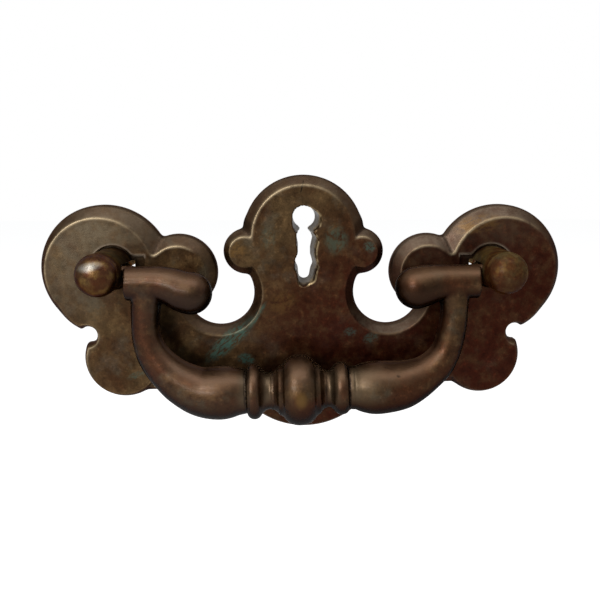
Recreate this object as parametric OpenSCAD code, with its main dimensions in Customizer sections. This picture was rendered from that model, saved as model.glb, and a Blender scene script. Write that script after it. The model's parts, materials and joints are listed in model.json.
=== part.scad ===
// Batwing drawer pull: cast backplate with keyhole, two ball-headed posts and a swinging bail.
// The back of the plate lies in the XZ plane and the front faces -Y, with +Z up.
// The origin is midway between the posts, where their axes' mid-line meets the drawer front.

/* [Overall] */
// Distance between the two post axes
post_pitch = 101.6; // [100:0.1:103]
// Thickness of the backplate from drawer front to flat face
plate_t = 5; // [4.6:0.1:5.6]

/* [Plate edge] */
// Height of the bevelled band above the straight rim
bevel_h = 2.4; // [1.6:0.1:2.8]
// Width of the bevel on the dome, the ears and the small lobes
bevel_w = 2.7; // [2:0.1:3]
// Width of the bevel on the wings
wing_bevel_w = 2.9; // [2.4:0.1:3.2]
// Width of the narrower bevel along the lower edge
low_bevel_w = 2.1; // [1.6:0.1:2.4]
// Width of the bevel round the small side notch
notch_bevel_w = 1.7; // [1:0.1:2]

/* [Plate outline] */
// Radius of the dome above the keyhole
dome_r = 16.3; // [15.9:0.1:16.6]
// Height of the dome's centre
dome_z = 8.05; // [7.7:0.05:8.4]
// Radius of the ears on both sides of the dome
ear_r = 6.15; // [5.9:0.05:6.3]
// Sideways place of an ear's centre
ear_x = 15.5; // [15.2:0.1:15.7]
// Height of an ear's centre
ear_z = 3.9; // [3.6:0.1:4.2]
// Radius of the U-shaped openings beside the waist
u_r = 9.3; // [9:0.1:9.4]
// Sideways place of a U opening's centre
u_x = 22.85; // [22.7:0.05:23]
// Height of a U opening's centre
u_z = -7.1; // [-7.4:0.1:-6.8]
// Radius of the small lobe at the inner end of a wing
bump_r = 10.3; // [10:0.1:10.4]
// Sideways place of that lobe's centre
bump_x = 33.7; // [33.4:0.1:33.9]
// Height of that lobe's centre
bump_z = -1.7; // [-2:0.1:-1.4]
// Radius of a wing's main lobe
wing_r = 17.3; // [17:0.1:17.4]
// Sideways place of the main lobe's centre
wing_x = 53.1; // [52.8:0.1:53.3]
// Height of the main lobe's centre
wing_z = -0.85; // [-1.1:0.05:-0.6]
// Radius of the full curve that runs down to the tip above the notch
heel_r = 11.35; // [11.1:0.05:11.5]
// Radius of the lower lobe of a wing
low_r = 10.8; // [10.5:0.1:10.9]
// Sideways place of the lower lobe's centre
low_x = 49.3; // [49:0.1:49.5]
// Height of the lower lobe's centre
low_z = -25.3; // [-25.6:0.1:-25]
// Radius of the notch between the main lobe and the lower lobe
notch_r = 2.3; // [2.1:0.1:2.5]
// Radius of the drop lobe under the bail's centre
drop_r = 21.5; // [21:0.1:22]
// Height of the drop lobe's centre
drop_z = -24; // [-24.3:0.1:-23.6]
// Height of the straight lower edge that joins the lobes
web_z = -34.4; // [-34.8:0.1:-34]
// Rise of that edge on the right side, as filed on the hand-finished casting
web_rise = 2.2; // [0:0.1:2.4]

/* [Keyhole] */
// Radius of the round head of the keyhole
key_r = 3; // [2.9:0.05:3.1]
// Height of the centre of that round head
key_z = 13.2; // [13:0.05:13.4]
// Radius of the round foot of the keyhole
key_foot_r = 1.5; // [1.4:0.05:1.6]
// Sideways lean of the cast right wall, in degrees
key_lean_x = 19; // [12:1:22]
// Downward lean of the cast lower wall, in degrees
key_lean_z = 14; // [8:1:18]

/* [Posts] */
// Radius of a post's shank
shank_r = 5.4; // [5.2:0.05:5.5]
// Radius of the domed head
head_r = 5.15; // [4.9:0.05:5.2]
// Distance from the plate's flat face to the centre of the head
head_reach = 15; // [14.6:0.1:15.6]
// Distance from the plate's flat face to the pivot
pivot_reach = 10; // [9.8:0.1:10.4]
// Radius of the threaded stud behind the plate
stud_r = 2; // [1.8:0.1:2.1]
// Length of the stud behind the plate
stud_l = 24; // [18:1:28]
// Width across the flats of the nut
nut_af = 7.4; // [7:0.1:7.6]
// Thickness of the nut
nut_t = 2; // [1.8:0.1:2.1]

/* [Bail] */
// Radius of the pintles that turn in the posts
pintle_r = 1.7; // [1.5:0.05:1.9]
// Radius of the short bars that carry the pintles
bar_r = 4.35; // [4.2:0.05:4.5]
// Distance of the bar's axis below the pivot
bar_drop = 2.8; // [2.6:0.1:3]
// Radius of an arm at its thickest, beside the turned centre
swell_r = 7; // [6.6:0.1:7.2]
// Radius of an arm at its thinnest, below the bar
arm_r = 3.4; // [3.2:0.1:3.6]
// Radius of the drooping nub at the inner end of a bar
nub_r = 5.5; // [5.2:0.1:5.7]
// Radius of the beads on both sides of the ball
bead_r = 7.1; // [6.9:0.1:7.3]
// Distance of the turned centre's axis below the pivot
bail_drop = 31.2; // [30.6:0.1:31.6]
// Radius of the ball in the middle
ball_r = 9.3; // [9:0.05:9.4]
// Sideways place of the ball in the hand-finished casting
ball_x = -1.3; // [-1.5:0.1:0]
// Tilt of the hand-fitted lower run, left side low, in degrees
bail_tilt = 1.5; // [0:0.1:1.8]

/* [Hidden] */
$fn = 96;
brass_plate = "#4a3a26";
brass_bail = "#6a4e36";
brass_post = "#7a5f36";
brass_nut = "#5c4a2c";
post_x = post_pitch / 2;
pivot_y = -plate_t - pivot_reach;
rim_h = plate_t - bevel_h;
eps = 0.01;

// Places that follow from the outline
heel_x = wing_x + 2.7;
heel_z = wing_z - 6;
notch_x = low_x + 9.4;
notch_z = low_z + 6.55;
valley_x = (wing_x + bump_x) / 2 - 4.8;
valley_z = wing_z + 11.5;
valley_r = 4.2;
web_half = low_x - 5;

// Half-widths of the keyhole below its round head, as [half-width, height]
key_sides = [[2.7, 12], [0.95, 9.9], [2.1, 8], [1.7, 6.8], [1.65, 3.3], [2.35, 1.2], [1.65, -0.6],
    [key_foot_r, -2.2]];
key_foot_z = key_sides[len(key_sides) - 1][1];

// Seats for the posts in the plate
hole_r = shank_r + 0.3;
seat_depth = 1.8;
seat_floor = 1;
seat_y = -plate_t + seat_depth;
tab_l = shank_r + 2.8;
tab_half = 2.9;
stud_root_r = stud_r + 0.35;
stud_hole_r = stud_root_r + 0.15;
slot_l = shank_r + 0.2;
slot_half = pintle_r + 0.05;
slot_floor_x = stud_root_r + 0.05;

// Hollow in the back of the plate
hollow_d = 2.8;
rim_w = 3.4;
boss_r = hole_r + 2.9;
nut_pocket_r = nut_af / 2 / cos(30) + 0.5;

// Turned centre of the bail, as distances from its middle
ball_arc_r = 6.4;
ball_half = 5.5;
cone_r = 6.85;
cone_x = 4.5;
neck_r = 4.7;
neck_from = 6.9;
neck_to = 7.6;
flare_r = 6.1;
flare_x = 9.6;
bead_half = 1.75;
bead_x = 11.35;
end_r = 5.7;
end_x = 13.4;
turned_half = 15;
bar_face_x = post_x - shank_r - 0.35;
pintle_end_x = post_x - slot_floor_x - 0.3;

// Thick prism with its back at the given distance from the drawer front
module raise(h, from = 0) {
    translate([0, -from, 0]) rotate([90, 0, 0]) linear_extrude(h) children();
}

module both_sides() {
    children();
    mirror([1, 0, 0]) children();
}

// Round lobe with a straight rim and a bevelled band
module lobe(x, z, r, bevel = bevel_w) {
    translate([x, 0, z]) rotate([90, 0, 0]) {
        cylinder(r = r, h = rim_h);
        translate([0, 0, rim_h]) cylinder(r1 = r, r2 = r - bevel, h = bevel_h);
    }
}

// Round bite whose edge is bevelled like the lobes
module bite(x, z, r, bevel = bevel_w) {
    over = 1.1;
    translate([x, eps, z]) rotate([90, 0, 0]) cylinder(r = r, h = plate_t + 2 * eps);
    translate([x, -rim_h, z]) rotate([90, 0, 0]) cylinder(r1 = r, r2 = r + bevel * over, h = bevel_h * over);
}

// Straight lower edge from the middle to a low lobe on the given side, bevelled along its length
module web_edge(side, z) {
    web_top = u_z - u_r - 2;
    start = side > 0 ? -web_half : 0;
    rotate([90, 0, -90]) translate([0, 0, start]) linear_extrude(web_half) polygon([
        [0, z], [rim_h, z], [plate_t, z + low_bevel_w], [plate_t, web_top], [0, web_top]
    ]);
}

// Flat ground that joins the lobes at full thickness
module ground() {
    raise(plate_t) {
        polygon([
            [-ear_x, ear_z], [-dome_r + 3.5, dome_z + 3], [dome_r - 3.5, dome_z + 3], [ear_x, ear_z],
            [ear_x, u_z], [drop_r - 5, drop_z], [5 - drop_r, drop_z], [-ear_x, u_z]
        ]);
        both_sides() polygon([
            [wing_x - 8, wing_z + 8.8], [valley_x, wing_z + 8.8], [bump_x, bump_z + 5.2], [u_x + 4, u_z + 3],
            [u_x - 6.5, u_z - 9], [drop_r - 6, web_z + 4.5], [low_x, web_z + 4.5], [low_x + 4, low_z],
            [notch_x - 2, notch_z - 2], [notch_x - 1, notch_z + 2.5], [heel_x, heel_z - 5]
        ]);
    }
}

module keyhole_outline() {
    translate([0, key_z]) circle(key_r);
    translate([0, key_foot_z]) circle(key_foot_r);
    polygon(concat(key_sides, [for (i = [len(key_sides) - 1 : -1 : 0]) [-key_sides[i][0], key_sides[i][1]]]));
}

// Keyhole: straight through, with the cast lean of its right and lower walls
module keyhole() {
    raise(plate_t + 2, -1) keyhole_outline();
    rotate([key_lean_z, 0, key_lean_x]) raise(plate_t + 3, 0.4) keyhole_outline();
}

// Hollow side of one wing, with a boss left standing round the post
module wing_hollow() {
    low_edge = web_z + web_rise + rim_w;
    difference() {
        union() {
            translate([wing_x, wing_z]) circle(wing_r - rim_w);
            translate([bump_x, bump_z]) circle(bump_r - rim_w);
            translate([low_x, low_z]) circle(low_r - rim_w);
            polygon([
                [wing_x - 8, 3], [bump_x, 3], [bump_x - 2, u_z], [u_x + 1.5, u_z - u_r - rim_w],
                [u_x + 1.5, low_edge], [low_x, low_edge], [low_x + 4, low_z + 4],
                [notch_x - 6.5, notch_z + 3], [heel_x, heel_z - 3]
            ]);
        }
        translate([post_x, 0]) circle(boss_r);
        translate([u_x, u_z]) circle(u_r + rim_w);
        translate([notch_x, notch_z]) circle(notch_r + rim_w);
    }
}

module drop_hollow() {
    hollow_top = key_foot_z - key_foot_r - rim_w - 10;
    intersection() {
        translate([0, drop_z]) circle(drop_r - rim_w);
        translate([-15, drop_z - drop_r]) square([30, hollow_top - drop_z + drop_r]);
    }
}

// Seat for a post: round hole with a tab towards the middle, its floor, the light slot and the nut pocket
module post_seat() {
    raise(seat_depth + 1, plate_t - seat_depth) {
        circle(hole_r);
        translate([-tab_l, -tab_half]) square([tab_l, 2 * tab_half]);
    }
    raise(plate_t + 2, -1) {
        circle(stud_hole_r);
        translate([-slot_l, -slot_half]) square([slot_l, 2 * slot_half]);
    }
    raise(plate_t - seat_depth - seat_floor + 1, -1) circle(nut_pocket_r);
}

module backplate() {
    color(brass_plate) difference() {
        union() {
            difference() {
                union() {
                    lobe(0, drop_z, drop_r, low_bevel_w);
                    web_edge(-1, web_z);
                    web_edge(1, web_z + web_rise);
                    ground();
                }
                both_sides() {
                    bite(u_x, u_z, u_r);
                    bite(valley_x, valley_z, valley_r);
                }
            }
            lobe(0, dome_z, dome_r);
            both_sides() {
                lobe(ear_x, ear_z, ear_r);
                lobe(bump_x, bump_z, bump_r);
                lobe(wing_x, wing_z, wing_r, wing_bevel_w);
                lobe(heel_x, heel_z, heel_r, wing_bevel_w);
                lobe(low_x, low_z, low_r, low_bevel_w);
            }
        }
        both_sides() {
            bite(notch_x, notch_z, notch_r, notch_bevel_w);
            raise(hollow_d + 1, -1) wing_hollow();
            translate([post_x, 0, 0]) post_seat();
        }
        raise(hollow_d + 1, -1) drop_hollow();
        keyhole();
    }
}

// Post on the right side: domed head, shank with a side slot for the pintle, threaded stud
module post() {
    head_y = -plate_t - head_reach;
    step_l = shank_r - head_r;
    shank_l = head_reach + seat_depth - step_l;
    difference() {
        union() {
            translate([0, seat_y, 0]) rotate([90, 0, 0]) {
                cylinder(r = shank_r, h = shank_l);
                translate([0, 0, shank_l]) cylinder(r1 = shank_r, r2 = head_r, h = step_l);
            }
            translate([0, head_y, 0]) intersection() {
                sphere(r = head_r);
                rotate([90, 0, 0]) cylinder(r = 2 * head_r, h = 2 * head_r);
            }
        }
        slot_out = shank_r + 1;
        translate([-slot_out, pivot_y, -slot_half])
            cube([slot_out - slot_floor_x, seat_y + 1 - pivot_y, 2 * slot_half]);
        translate([-slot_out, pivot_y, 0]) rotate([0, 90, 0])
            cylinder(r = slot_half, h = slot_out - slot_floor_x);
    }
    tip = 0.5;
    rotate([-90, 0, 0]) {
        translate([0, 0, seat_y - tip]) cylinder(r = stud_root_r, h = tip - seat_y);
        translate([0, 0, -tip]) cylinder(r = stud_r, h = stud_l);
        translate([0, 0, stud_l - tip]) cylinder(r1 = stud_r, r2 = stud_r - tip, h = tip);
    }
}

module nut() {
    translate([0, seat_y + seat_floor, 0]) rotate([-90, 0, 0]) difference() {
        cylinder(r = nut_af / 2 / cos(30), h = nut_t, $fn = 6);
        translate([0, 0, -1]) cylinder(r = stud_root_r + 0.04, h = nut_t + 2);
    }
}

// Half of the turned profile, as [radius, distance from the middle]
module turned_half_profile() {
    intersection() {
        translate([ball_r - ball_arc_r, 0]) circle(ball_arc_r);
        square([ball_r, ball_half]);
    }
    polygon([
        [0, 0], [cone_r, 0], [cone_r, cone_x], [neck_r, neck_from], [neck_r, neck_to], [flare_r, flare_x],
        [flare_r, bead_x], [0, bead_x]
    ]);
    translate([bead_r - bead_half, bead_x]) circle(bead_half);
    translate([0, bead_x - bead_half]) square([bead_r - bead_half, 2 * bead_half]);
    polygon([[0, bead_x], [end_r, bead_x], [end_r, end_x], [end_r + 0.2, turned_half], [0, turned_half]]);
}

// Turned centre of the bail: ball with side rings, necks and beads
module turned_centre() {
    rotate([0, 90, 0]) rotate_extrude() {
        turned_half_profile();
        mirror([0, 1]) turned_half_profile();
    }
}

// Smooth blend from 0 to 1
function ease(t) = let (u = max(0, min(1, t))) u * u * (3 - 2 * u);

// Point on a Catmull-Rom curve through a list, at parameter t counted in whole points
function spline(p, t) = let (
    last = len(p) - 1,
    i = min(floor(t), last - 1),
    u = t - i,
    a = p[max(i - 1, 0)], b = p[i], c = p[i + 1], d = p[min(i + 2, last)]
) 0.5 * (2 * b + (c - a) * u + (2 * a - 5 * b + 4 * c - d) * u * u + (3 * b - a - 3 * c + d) * u * u * u);

// Ring of points round a path point, in the plane across its direction
function ring(p, dir, r, sides) = let (n = [-dir[2], 0, dir[0]] / norm(dir))
    [for (k = [0 : sides - 1]) let (a = 360 * k / sides) p + r * (cos(a) * n + sin(a) * [0, 1, 0])];

// Stations that round off the end of a rod, as [x, z, radius]
function round_end(p, before) = let (d = [p[0] - before[0], p[1] - before[1]], u = d / norm(d))
    [for (a = [18 : 18 : 72]) [p[0] + p[2] * sin(a) * u[0], p[1] + p[2] * sin(a) * u[1], p[2] * cos(a)]];

// Round rod swept along a path of [x, z, radius], with a round far end where asked
module rod(path, steps, rounded = false, sides = 22) {
    last = len(path) - 1;
    run = [for (k = [0 : steps]) spline(path, last * k / steps)];
    stations = rounded ? concat(run, round_end(run[steps], run[steps - 1])) : run;
    top = len(stations) - 1;
    dirs = [for (k = [0 : top]) let (
        a = stations[max(k - 1, 0)], b = stations[min(k + 1, top)]
    ) [b[0] - a[0], 0, b[1] - a[1]]];
    points = [for (k = [0 : top])
        each ring([stations[k][0], pivot_y, stations[k][1]], dirs[k], stations[k][2], sides)];
    walls = [for (k = [0 : top - 1], j = [0 : sides - 1]) let (
        n = (j + 1) % sides, a = k * sides, b = a + sides
    ) each [[a + j, b + n, b + j], [a + j, a + n, b + n]]];
    start = [[for (j = [sides - 1 : -1 : 0]) j]];
    end = [[for (j = [0 : sides - 1]) top * sides + j]];
    polyhedron(points, concat(walls, start, end), convexity = 4);
}

// The lower run leans by the tilt, fading out towards the bars
function tilted(x, z) = let (fade = ease((z + bar_drop) / (bar_drop - bail_drop / 2)))
    z + x * tan(bail_tilt) * fade;

// Left arm from the turned centre round the corner and up into the bar, as [x, z, radius]
left_arm = [
    [turned_half - 1, -bail_drop, end_r - 0.7],
    [turned_half + 0.5, -bail_drop, end_r + 0.25],
    [turned_half + 3.6, -bail_drop + 0.2, swell_r - 0.45],
    [turned_half + 7.2, -bail_drop - 0.1, swell_r],
    [turned_half + 11.9, -bail_drop + 0.4, swell_r - 0.6],
    [post_x - 19.3, -bail_drop + 2.7, arm_r + 2.25],
    [post_x - 16.2, -bail_drop + 5.2, arm_r + 1.6],
    [post_x - 13.6, -bail_drop + 8, arm_r + 1.1],
    [post_x - 11.5, -bail_drop + 11.4, arm_r + 0.6],
    [post_x - 10.4, -bail_drop + 15, arm_r + 0.2],
    [post_x - 10.1, -bail_drop + 19, arm_r],
    [post_x - 10.4, -bar_drop - 5.4, arm_r + 0.2],
    [post_x - 11.2, -bar_drop - 0.3, bar_r - 0.4]
];

// The right arm of the hand-finished casting runs closer to the middle and swells earlier
right_arm = [
    [turned_half - 2.6, -bail_drop, end_r - 0.6],
    [turned_half - 1.5, -bail_drop, end_r],
    [turned_half + 0.2, -bail_drop, end_r + 0.35],
    [turned_half + 2.1, -bail_drop - 0.1, swell_r - 0.2],
    [turned_half + 4.6, -bail_drop - 0.2, swell_r],
    [turned_half + 9.6, -bail_drop + 0.1, swell_r - 0.5],
    [post_x - 22.8, -bail_drop + 1.1, arm_r + 2.4],
    [post_x - 19.3, -bail_drop + 2.8, arm_r + 1.5],
    [post_x - 16.2, -bail_drop + 5.3, arm_r + 1],
    [post_x - 14.1, -bail_drop + 8.3, arm_r + 0.5],
    [post_x - 12.8, -bail_drop + 12, arm_r + 0.2],
    [post_x - 12, -bail_drop + 16.4, arm_r + 0.1],
    [post_x - 11.8, -bail_drop + 20.2, arm_r],
    [post_x - 11.8, -bar_drop - 5.4, arm_r + 0.2],
    [post_x - 12, -bar_drop - 0.3, bar_r - 0.4]
];

function arm_path(side) = [for (p = side < 0 ? left_arm : right_arm)
    [side * p[0], tilted(side * p[0], p[1]), p[2]]];

// Bar from its flat outer end to the drooping nub, as [x, z, radius]; the left nub hangs a little lower
function bar_path(side) = let (droop = bar_drop + 2.1 - 0.5 * side) [for (p = [
    [bar_face_x, -bar_drop, bar_r],
    [bar_face_x - 4, -bar_drop, bar_r],
    [bar_face_x - 8, -bar_drop - 0.1, bar_r + 0.1],
    [bar_face_x - 11.6, -(bar_drop + droop) / 2 + 0.3, nub_r - 0.6],
    [bar_face_x - 14, -droop + 0.5, nub_r - 0.2],
    [bar_face_x - 16.1, -droop, nub_r]
]) [side * p[0], p[1], p[2]]];

module bail_side(side) {
    pintle_root = 2;
    rod(arm_path(side), 34);
    rod(bar_path(side), 15, true);
    translate([side * (bar_face_x - pintle_root), pivot_y, 0]) rotate([0, side * 90, 0])
        cylinder(r = pintle_r, h = pintle_end_x - bar_face_x + pintle_root);
}

module bail() {
    color(brass_bail) {
        translate([ball_x, pivot_y, tilted(ball_x, -bail_drop)]) rotate([0, -bail_tilt, 0]) turned_centre();
        bail_side(-1);
        bail_side(1);
    }
}

module post_left() {
    color(brass_post) mirror([1, 0, 0]) translate([post_x, 0, 0]) post();
}

module post_right() {
    color(brass_post) translate([post_x, 0, 0]) post();
}

module nut_left() {
    color(brass_nut) translate([-post_x, 0, 0]) nut();
}

module nut_right() {
    color(brass_nut) translate([post_x, 0, 0]) nut();
}

backplate();
bail();
post_left();
post_right();
nut_left();
nut_right();
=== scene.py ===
import json
import math

import bpy
import numpy as np
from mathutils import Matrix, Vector
from mathutils.geometry import delaunay_2d_cdt


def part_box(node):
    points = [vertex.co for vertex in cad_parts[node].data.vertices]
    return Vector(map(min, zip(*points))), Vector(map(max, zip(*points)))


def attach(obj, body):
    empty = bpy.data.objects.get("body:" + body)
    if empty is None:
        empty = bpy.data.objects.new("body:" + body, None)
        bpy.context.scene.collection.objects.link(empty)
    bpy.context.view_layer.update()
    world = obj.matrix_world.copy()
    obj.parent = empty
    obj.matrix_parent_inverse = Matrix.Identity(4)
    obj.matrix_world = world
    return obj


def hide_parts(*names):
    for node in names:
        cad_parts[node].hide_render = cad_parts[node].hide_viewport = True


# Lengths are in millimetres along the row's axes. A mesh is scaled to metres when it is made.
MM = 0.001

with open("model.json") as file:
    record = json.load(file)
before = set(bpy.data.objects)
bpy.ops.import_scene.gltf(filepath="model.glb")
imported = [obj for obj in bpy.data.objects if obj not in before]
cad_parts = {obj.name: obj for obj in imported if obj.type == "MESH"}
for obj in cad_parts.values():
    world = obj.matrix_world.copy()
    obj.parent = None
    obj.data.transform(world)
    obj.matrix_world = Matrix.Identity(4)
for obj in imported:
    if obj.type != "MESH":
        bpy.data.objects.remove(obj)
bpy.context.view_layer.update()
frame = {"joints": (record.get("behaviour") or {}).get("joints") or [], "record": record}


def cad_box(name):
    """Lowest and highest corner of a CAD node, in millimetres."""
    low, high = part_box(name)
    return np.array(low) / MM, np.array(high) / MM


plate_low, plate_high = cad_box("backplate")
post_low, post_high = cad_box("post_right")
nut_low, nut_high = cad_box("nut_right")
joint = frame["joints"][0]
plate_t = -plate_low[1]
post_x = (post_low[0] + post_high[0]) / 2
shank_r = (post_high[0] - post_low[0]) / 2
pivot_y = joint["pos_m"][1] / MM
stud_mount = frame["record"]["mounts"][0]["dims"]
stud_r = stud_mount["stud_r_mm"]


# Fields: numbers over space that are positive inside the metal and zero on its surface
def smooth_max(a, b, width):
    share = np.clip(0.5 + 0.5 * (a - b) / width, 0, 1)
    return b + (a - b) * share + width * share * (1 - share)


def smooth_min(a, b, width):
    return -smooth_max(-a, -b, width)


def ease(x):
    x = np.clip(x, 0, 1)
    return x * x * (3 - 2 * x)


def bell(x, width):
    return np.exp(-((x / width) ** 2))


def away(x, z, centre):
    return np.hypot(x - centre[0], z - centre[1])


def in_polygon(x, z, points):
    """Distance to a polygon's edge, positive inside it."""
    nearest = np.full(np.shape(x), np.inf)
    crossings = np.zeros(np.shape(x), int)
    for (ax, az), (bx, bz) in zip(points, points[1:] + points[:1]):
        dx, dz = bx - ax, bz - az
        along = np.clip(((x - ax) * dx + (z - az) * dz) / (dx * dx + dz * dz), 0, 1)
        nearest = np.minimum(nearest, np.hypot(x - ax - along * dx, z - az - along * dz))
        if dz:
            spans = (az > z) != (bz > z)
            crossings += spans & (x < ax + (z - az) * dx / dz)
    return np.where(crossings % 2 == 1, nearest, -nearest)


# Plate outline: each lobe is [centre, radius, bevel width, shift of the crest circle]
rim_h = 2.6
wing = ((53.1, -0.85), 17.28, 3, (1.35, -0.4))
heel = ((55.8, -6.85), 11.35, 1.3, (0, 0))
bump = ((33.7, -1.7), 10.3, 2.9, (0.1, -0.2))
low_lobe = ((49.3, -25.3), 10.8, 1.1, (0, 0))
dome = ((0, 8.05), 16.3, 2.6, (0, -0.1))
ear = ((15.5, 3.9), 6.15, 2.1, (0.35, 0))
drop = ((0, -24), 21.49, 1.1, (0, 0))

# Bites into the outline, each [centre, radius, bevel width]
u_bite = ((22.85, -7.1), 9.3, 2.4)
notch_bite = ((58.7, -18.75), 2.3, 0.9)

# Web that joins the wings below the waist; its lower edge lies higher on the right
web_z = -34.4
web_rise = 2.2
web_bevel = 1.2
web_top = -20
web_end = 44

# Ground that the lobes stand on, as far as its flat face reaches on the right half
waist_face = [(-1, 11), (12.8, 11), (13.5, 3.9), (15.6, -7), (16.5, -23), (-1, -30)]
wing_face = [(45, 3), (39.3, 2.7), (33.5, 1.5), (27, -4), (16, -16), (16, -31), (49, -30), (53, -25),
             (56, -19), (57.4, -15), (58, -12)]
face_slope = 3
lobe_join = 0.42


def lobe(x, z, shape):
    """0 on a lobe's outline, 1 on its crest line and more on its flat top."""
    centre, radius, bevel, shift = shape
    from_edge = radius - away(x, z, centre)
    to_crest = away(x, z, (centre[0] + shift[0], centre[1] + shift[1])) - (radius - bevel)
    band = from_edge / np.maximum(from_edge + to_crest, 0.2)
    return np.where(from_edge <= 0, from_edge / bevel, np.where(to_crest > 0, band, 1 - to_crest / bevel))


def bite(x, z, shape):
    centre, radius, bevel = shape
    return (away(x, z, centre) - radius) / bevel


def outline(x, z, join=lobe_join):
    """0 on the plate's outline, 1 on its crest line and more on its flat face."""
    web_low = web_z + web_rise * ease((x + 4) / 8)
    x = np.abs(x)
    web = np.minimum((z - web_low) / web_bevel, (web_end - x) / face_slope)
    web = np.minimum(web, (web_top - z) / face_slope)
    waist_ground = 1 + in_polygon(x, z, waist_face) / face_slope
    wing_ground = 1 + in_polygon(x, z, wing_face) / face_slope
    ground = np.maximum(waist_ground, wing_ground)
    field = smooth_max(np.maximum(web, ground), lobe(x, z, drop), join)
    field = smooth_min(field, bite(x, z, u_bite), join)
    for shape in (dome, ear, bump, wing, heel, low_lobe):
        field = smooth_max(field, lobe(x, z, shape), join)
    return smooth_min(field, bite(x, z, notch_bite), join)


# Keyhole, straight at the back, with walls that lean to the right and down towards the front
key_head = ((0.1, 13.2), 3)
key_foot = ((0, -2.2), 1.5)
key_right = [(2.75, 12.1), (1, 9.95), (1.9, 8.9), (2.35, 7.7), (2, 6.2), (1.75, 5), (1.75, 3.1), (2.2, 1.5),
             (2.35, 0.6), (1.8, -0.7), (1.5, -2.2)]
key_left = [(-1.5, -2.2), (-1.65, -0.5), (-2.35, 1), (-2.25, 1.7), (-1.55, 3.6), (-1.55, 6), (-1.85, 7.6),
            (-1.85, 8.6), (-0.95, 9.95), (-2.55, 12.1)]
key_outline = key_right + key_left
key_leans = ((1.55, -0.9), (-0.05, -1.8))
lean_steps = 20


def outside_key(x, z):
    """Distance from the straight keyhole, positive in the metal."""
    hole = in_polygon(x, z, key_outline)
    for centre, radius in (key_head, key_foot):
        hole = np.maximum(hole, radius - away(x, z, centre))
    return -hole


def outside_front_key(x, z):
    """Distance from the leaning keyhole's opening in the front face."""
    gap = outside_key(x, z)
    for lean_x, lean_z in key_leans:
        for share in (0.25, 0.5, 0.75, 1):
            gap = np.minimum(gap, outside_key(x - lean_x * share, z - lean_z * share))
    return gap


def leaning_wall(x, z):
    """Height of the keyhole's leaning wall over the drawer front, plate_t where it has ended."""
    height = np.full(np.shape(x), plate_t)
    for lean_x, lean_z in key_leans:
        before = outside_key(x, z)
        found = before < 0
        height[found] = 0
        for i in range(1, lean_steps + 1):
            share = i / lean_steps
            gap = outside_key(x - lean_x * share, z - lean_z * share)
            new = (gap < 0) & ~found
            part = before / np.maximum(before - gap, 1e-6)
            height[new] = np.minimum(height[new], (i - 1 + part[new]) / lean_steps * plate_t)
            found |= new
            before = gap
    return height


# Seat of a post: a round hole with a tab towards the middle, its floor, and the light slot
hole_r = shank_r + 0.3
seat_floor = plate_t - 1.8
tab_end = shank_r + 2.8
tab_half = 2.9
slot_end = shank_r + 0.2
slot_half = 1.75
stud_hole_r = 2.5
nut_pocket_r = 4.77
nut_pocket_depth = seat_floor - 1
seat_corner = 0.5

# Hollows in the plate's back, inside a rim, and the long one behind the web and the wing's face
hollow_depth = 2.8
hollow_rim = 3.4
seat_wall = 2.9
web_hollow = [(44.9, 3), (33.5, 3), (31.5, -7.1), (24.3, -19.8), (24.3, -28.8), (49.1, -28.8), (53.1, -21.3),
              (52.1, -15.7), (55.6, -9.9)]
drop_hollow_half = 15
drop_hollow_top = -17.2


def box_distance(x, z, low_x, high_x, half_z):
    """Distance to a box centred on z = 0, positive inside it."""
    return np.minimum(np.minimum(x - low_x, high_x - x), half_z - np.abs(z))


def outside_seat(x, z):
    inner = post_x - np.abs(x)
    hole = hole_r - np.hypot(inner, z)
    tab = box_distance(inner, z, 0, tab_end, tab_half)
    return -smooth_max(hole, tab, seat_corner)


def outside_slot(x, z):
    inner = post_x - np.abs(x)
    hole = stud_hole_r - np.hypot(inner, z)
    return -np.maximum(hole, box_distance(inner, z, 0, slot_end, slot_half))


def in_hollow(x, z):
    """Positive in the hollows in the plate's back, by the distance from their walls."""
    x = np.abs(x)
    field = in_polygon(x, z, web_hollow)
    for centre, radius, _, _ in (wing, bump, low_lobe):
        field = np.maximum(field, radius - hollow_rim - away(x, z, centre))
    field = np.minimum(field, away(x, z, (post_x, 0)) - hole_r - seat_wall)
    for centre, radius, _ in (u_bite, notch_bite):
        field = np.minimum(field, away(x, z, centre) - radius - hollow_rim)
    in_drop = drop[1] - hollow_rim - away(x, z, drop[0])
    return np.maximum(field, np.minimum(np.minimum(in_drop, drop_hollow_half - x), drop_hollow_top - z))


# Relief of the plate's front, by the outline field: reach is in its units, height in millimetres
shoulder_drop = 0.55
shoulder_reach = 0.16
band_curve = 0.14
ridge_height = 0.07
ridge_reach = 0.11
face_sink = 0.05

# Raised lips around the seats and the keyhole, and how far their edges are rounded off
seat_lip = 0.04
key_lip = 0.05
lip_from_edge = 0.35
seat_round = 0.2
key_round = 0.25


def front_height(x, z):
    """Height of the plate's front over the drawer front."""
    t = outline(x, z)
    rise = np.clip(t, 0, 1)
    band = (1 - band_curve) * rise + band_curve * np.sin(rise * math.pi / 2)
    shoulder = shoulder_drop * (1 - ease(t / shoulder_reach)) ** 2
    height = rim_h + (plate_t - rim_h) * band - shoulder
    height += ridge_height * bell(t - 1, ridge_reach)
    height -= face_sink * ease((t - 1.05) / 0.4) * (1 - ease((t - 1.8) / 1.5))
    from_seat = outside_seat(x, z)
    height += seat_lip * bell(from_seat - lip_from_edge, 0.3)
    height -= seat_round * (1 - ease(from_seat / lip_from_edge))
    height = np.where(from_seat < -0.03, seat_floor, height)
    key_wall = leaning_wall(x, z)
    lip = outside_front_key(x, z)
    upright = key_wall > plate_t - 0.01
    height += key_lip * bell(lip - lip_from_edge, 0.28)
    height -= key_round * (1 - ease(lip / lip_from_edge)) * upright
    thinnest = 0.3
    return np.minimum(height, np.maximum(key_wall, thinnest))


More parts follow.
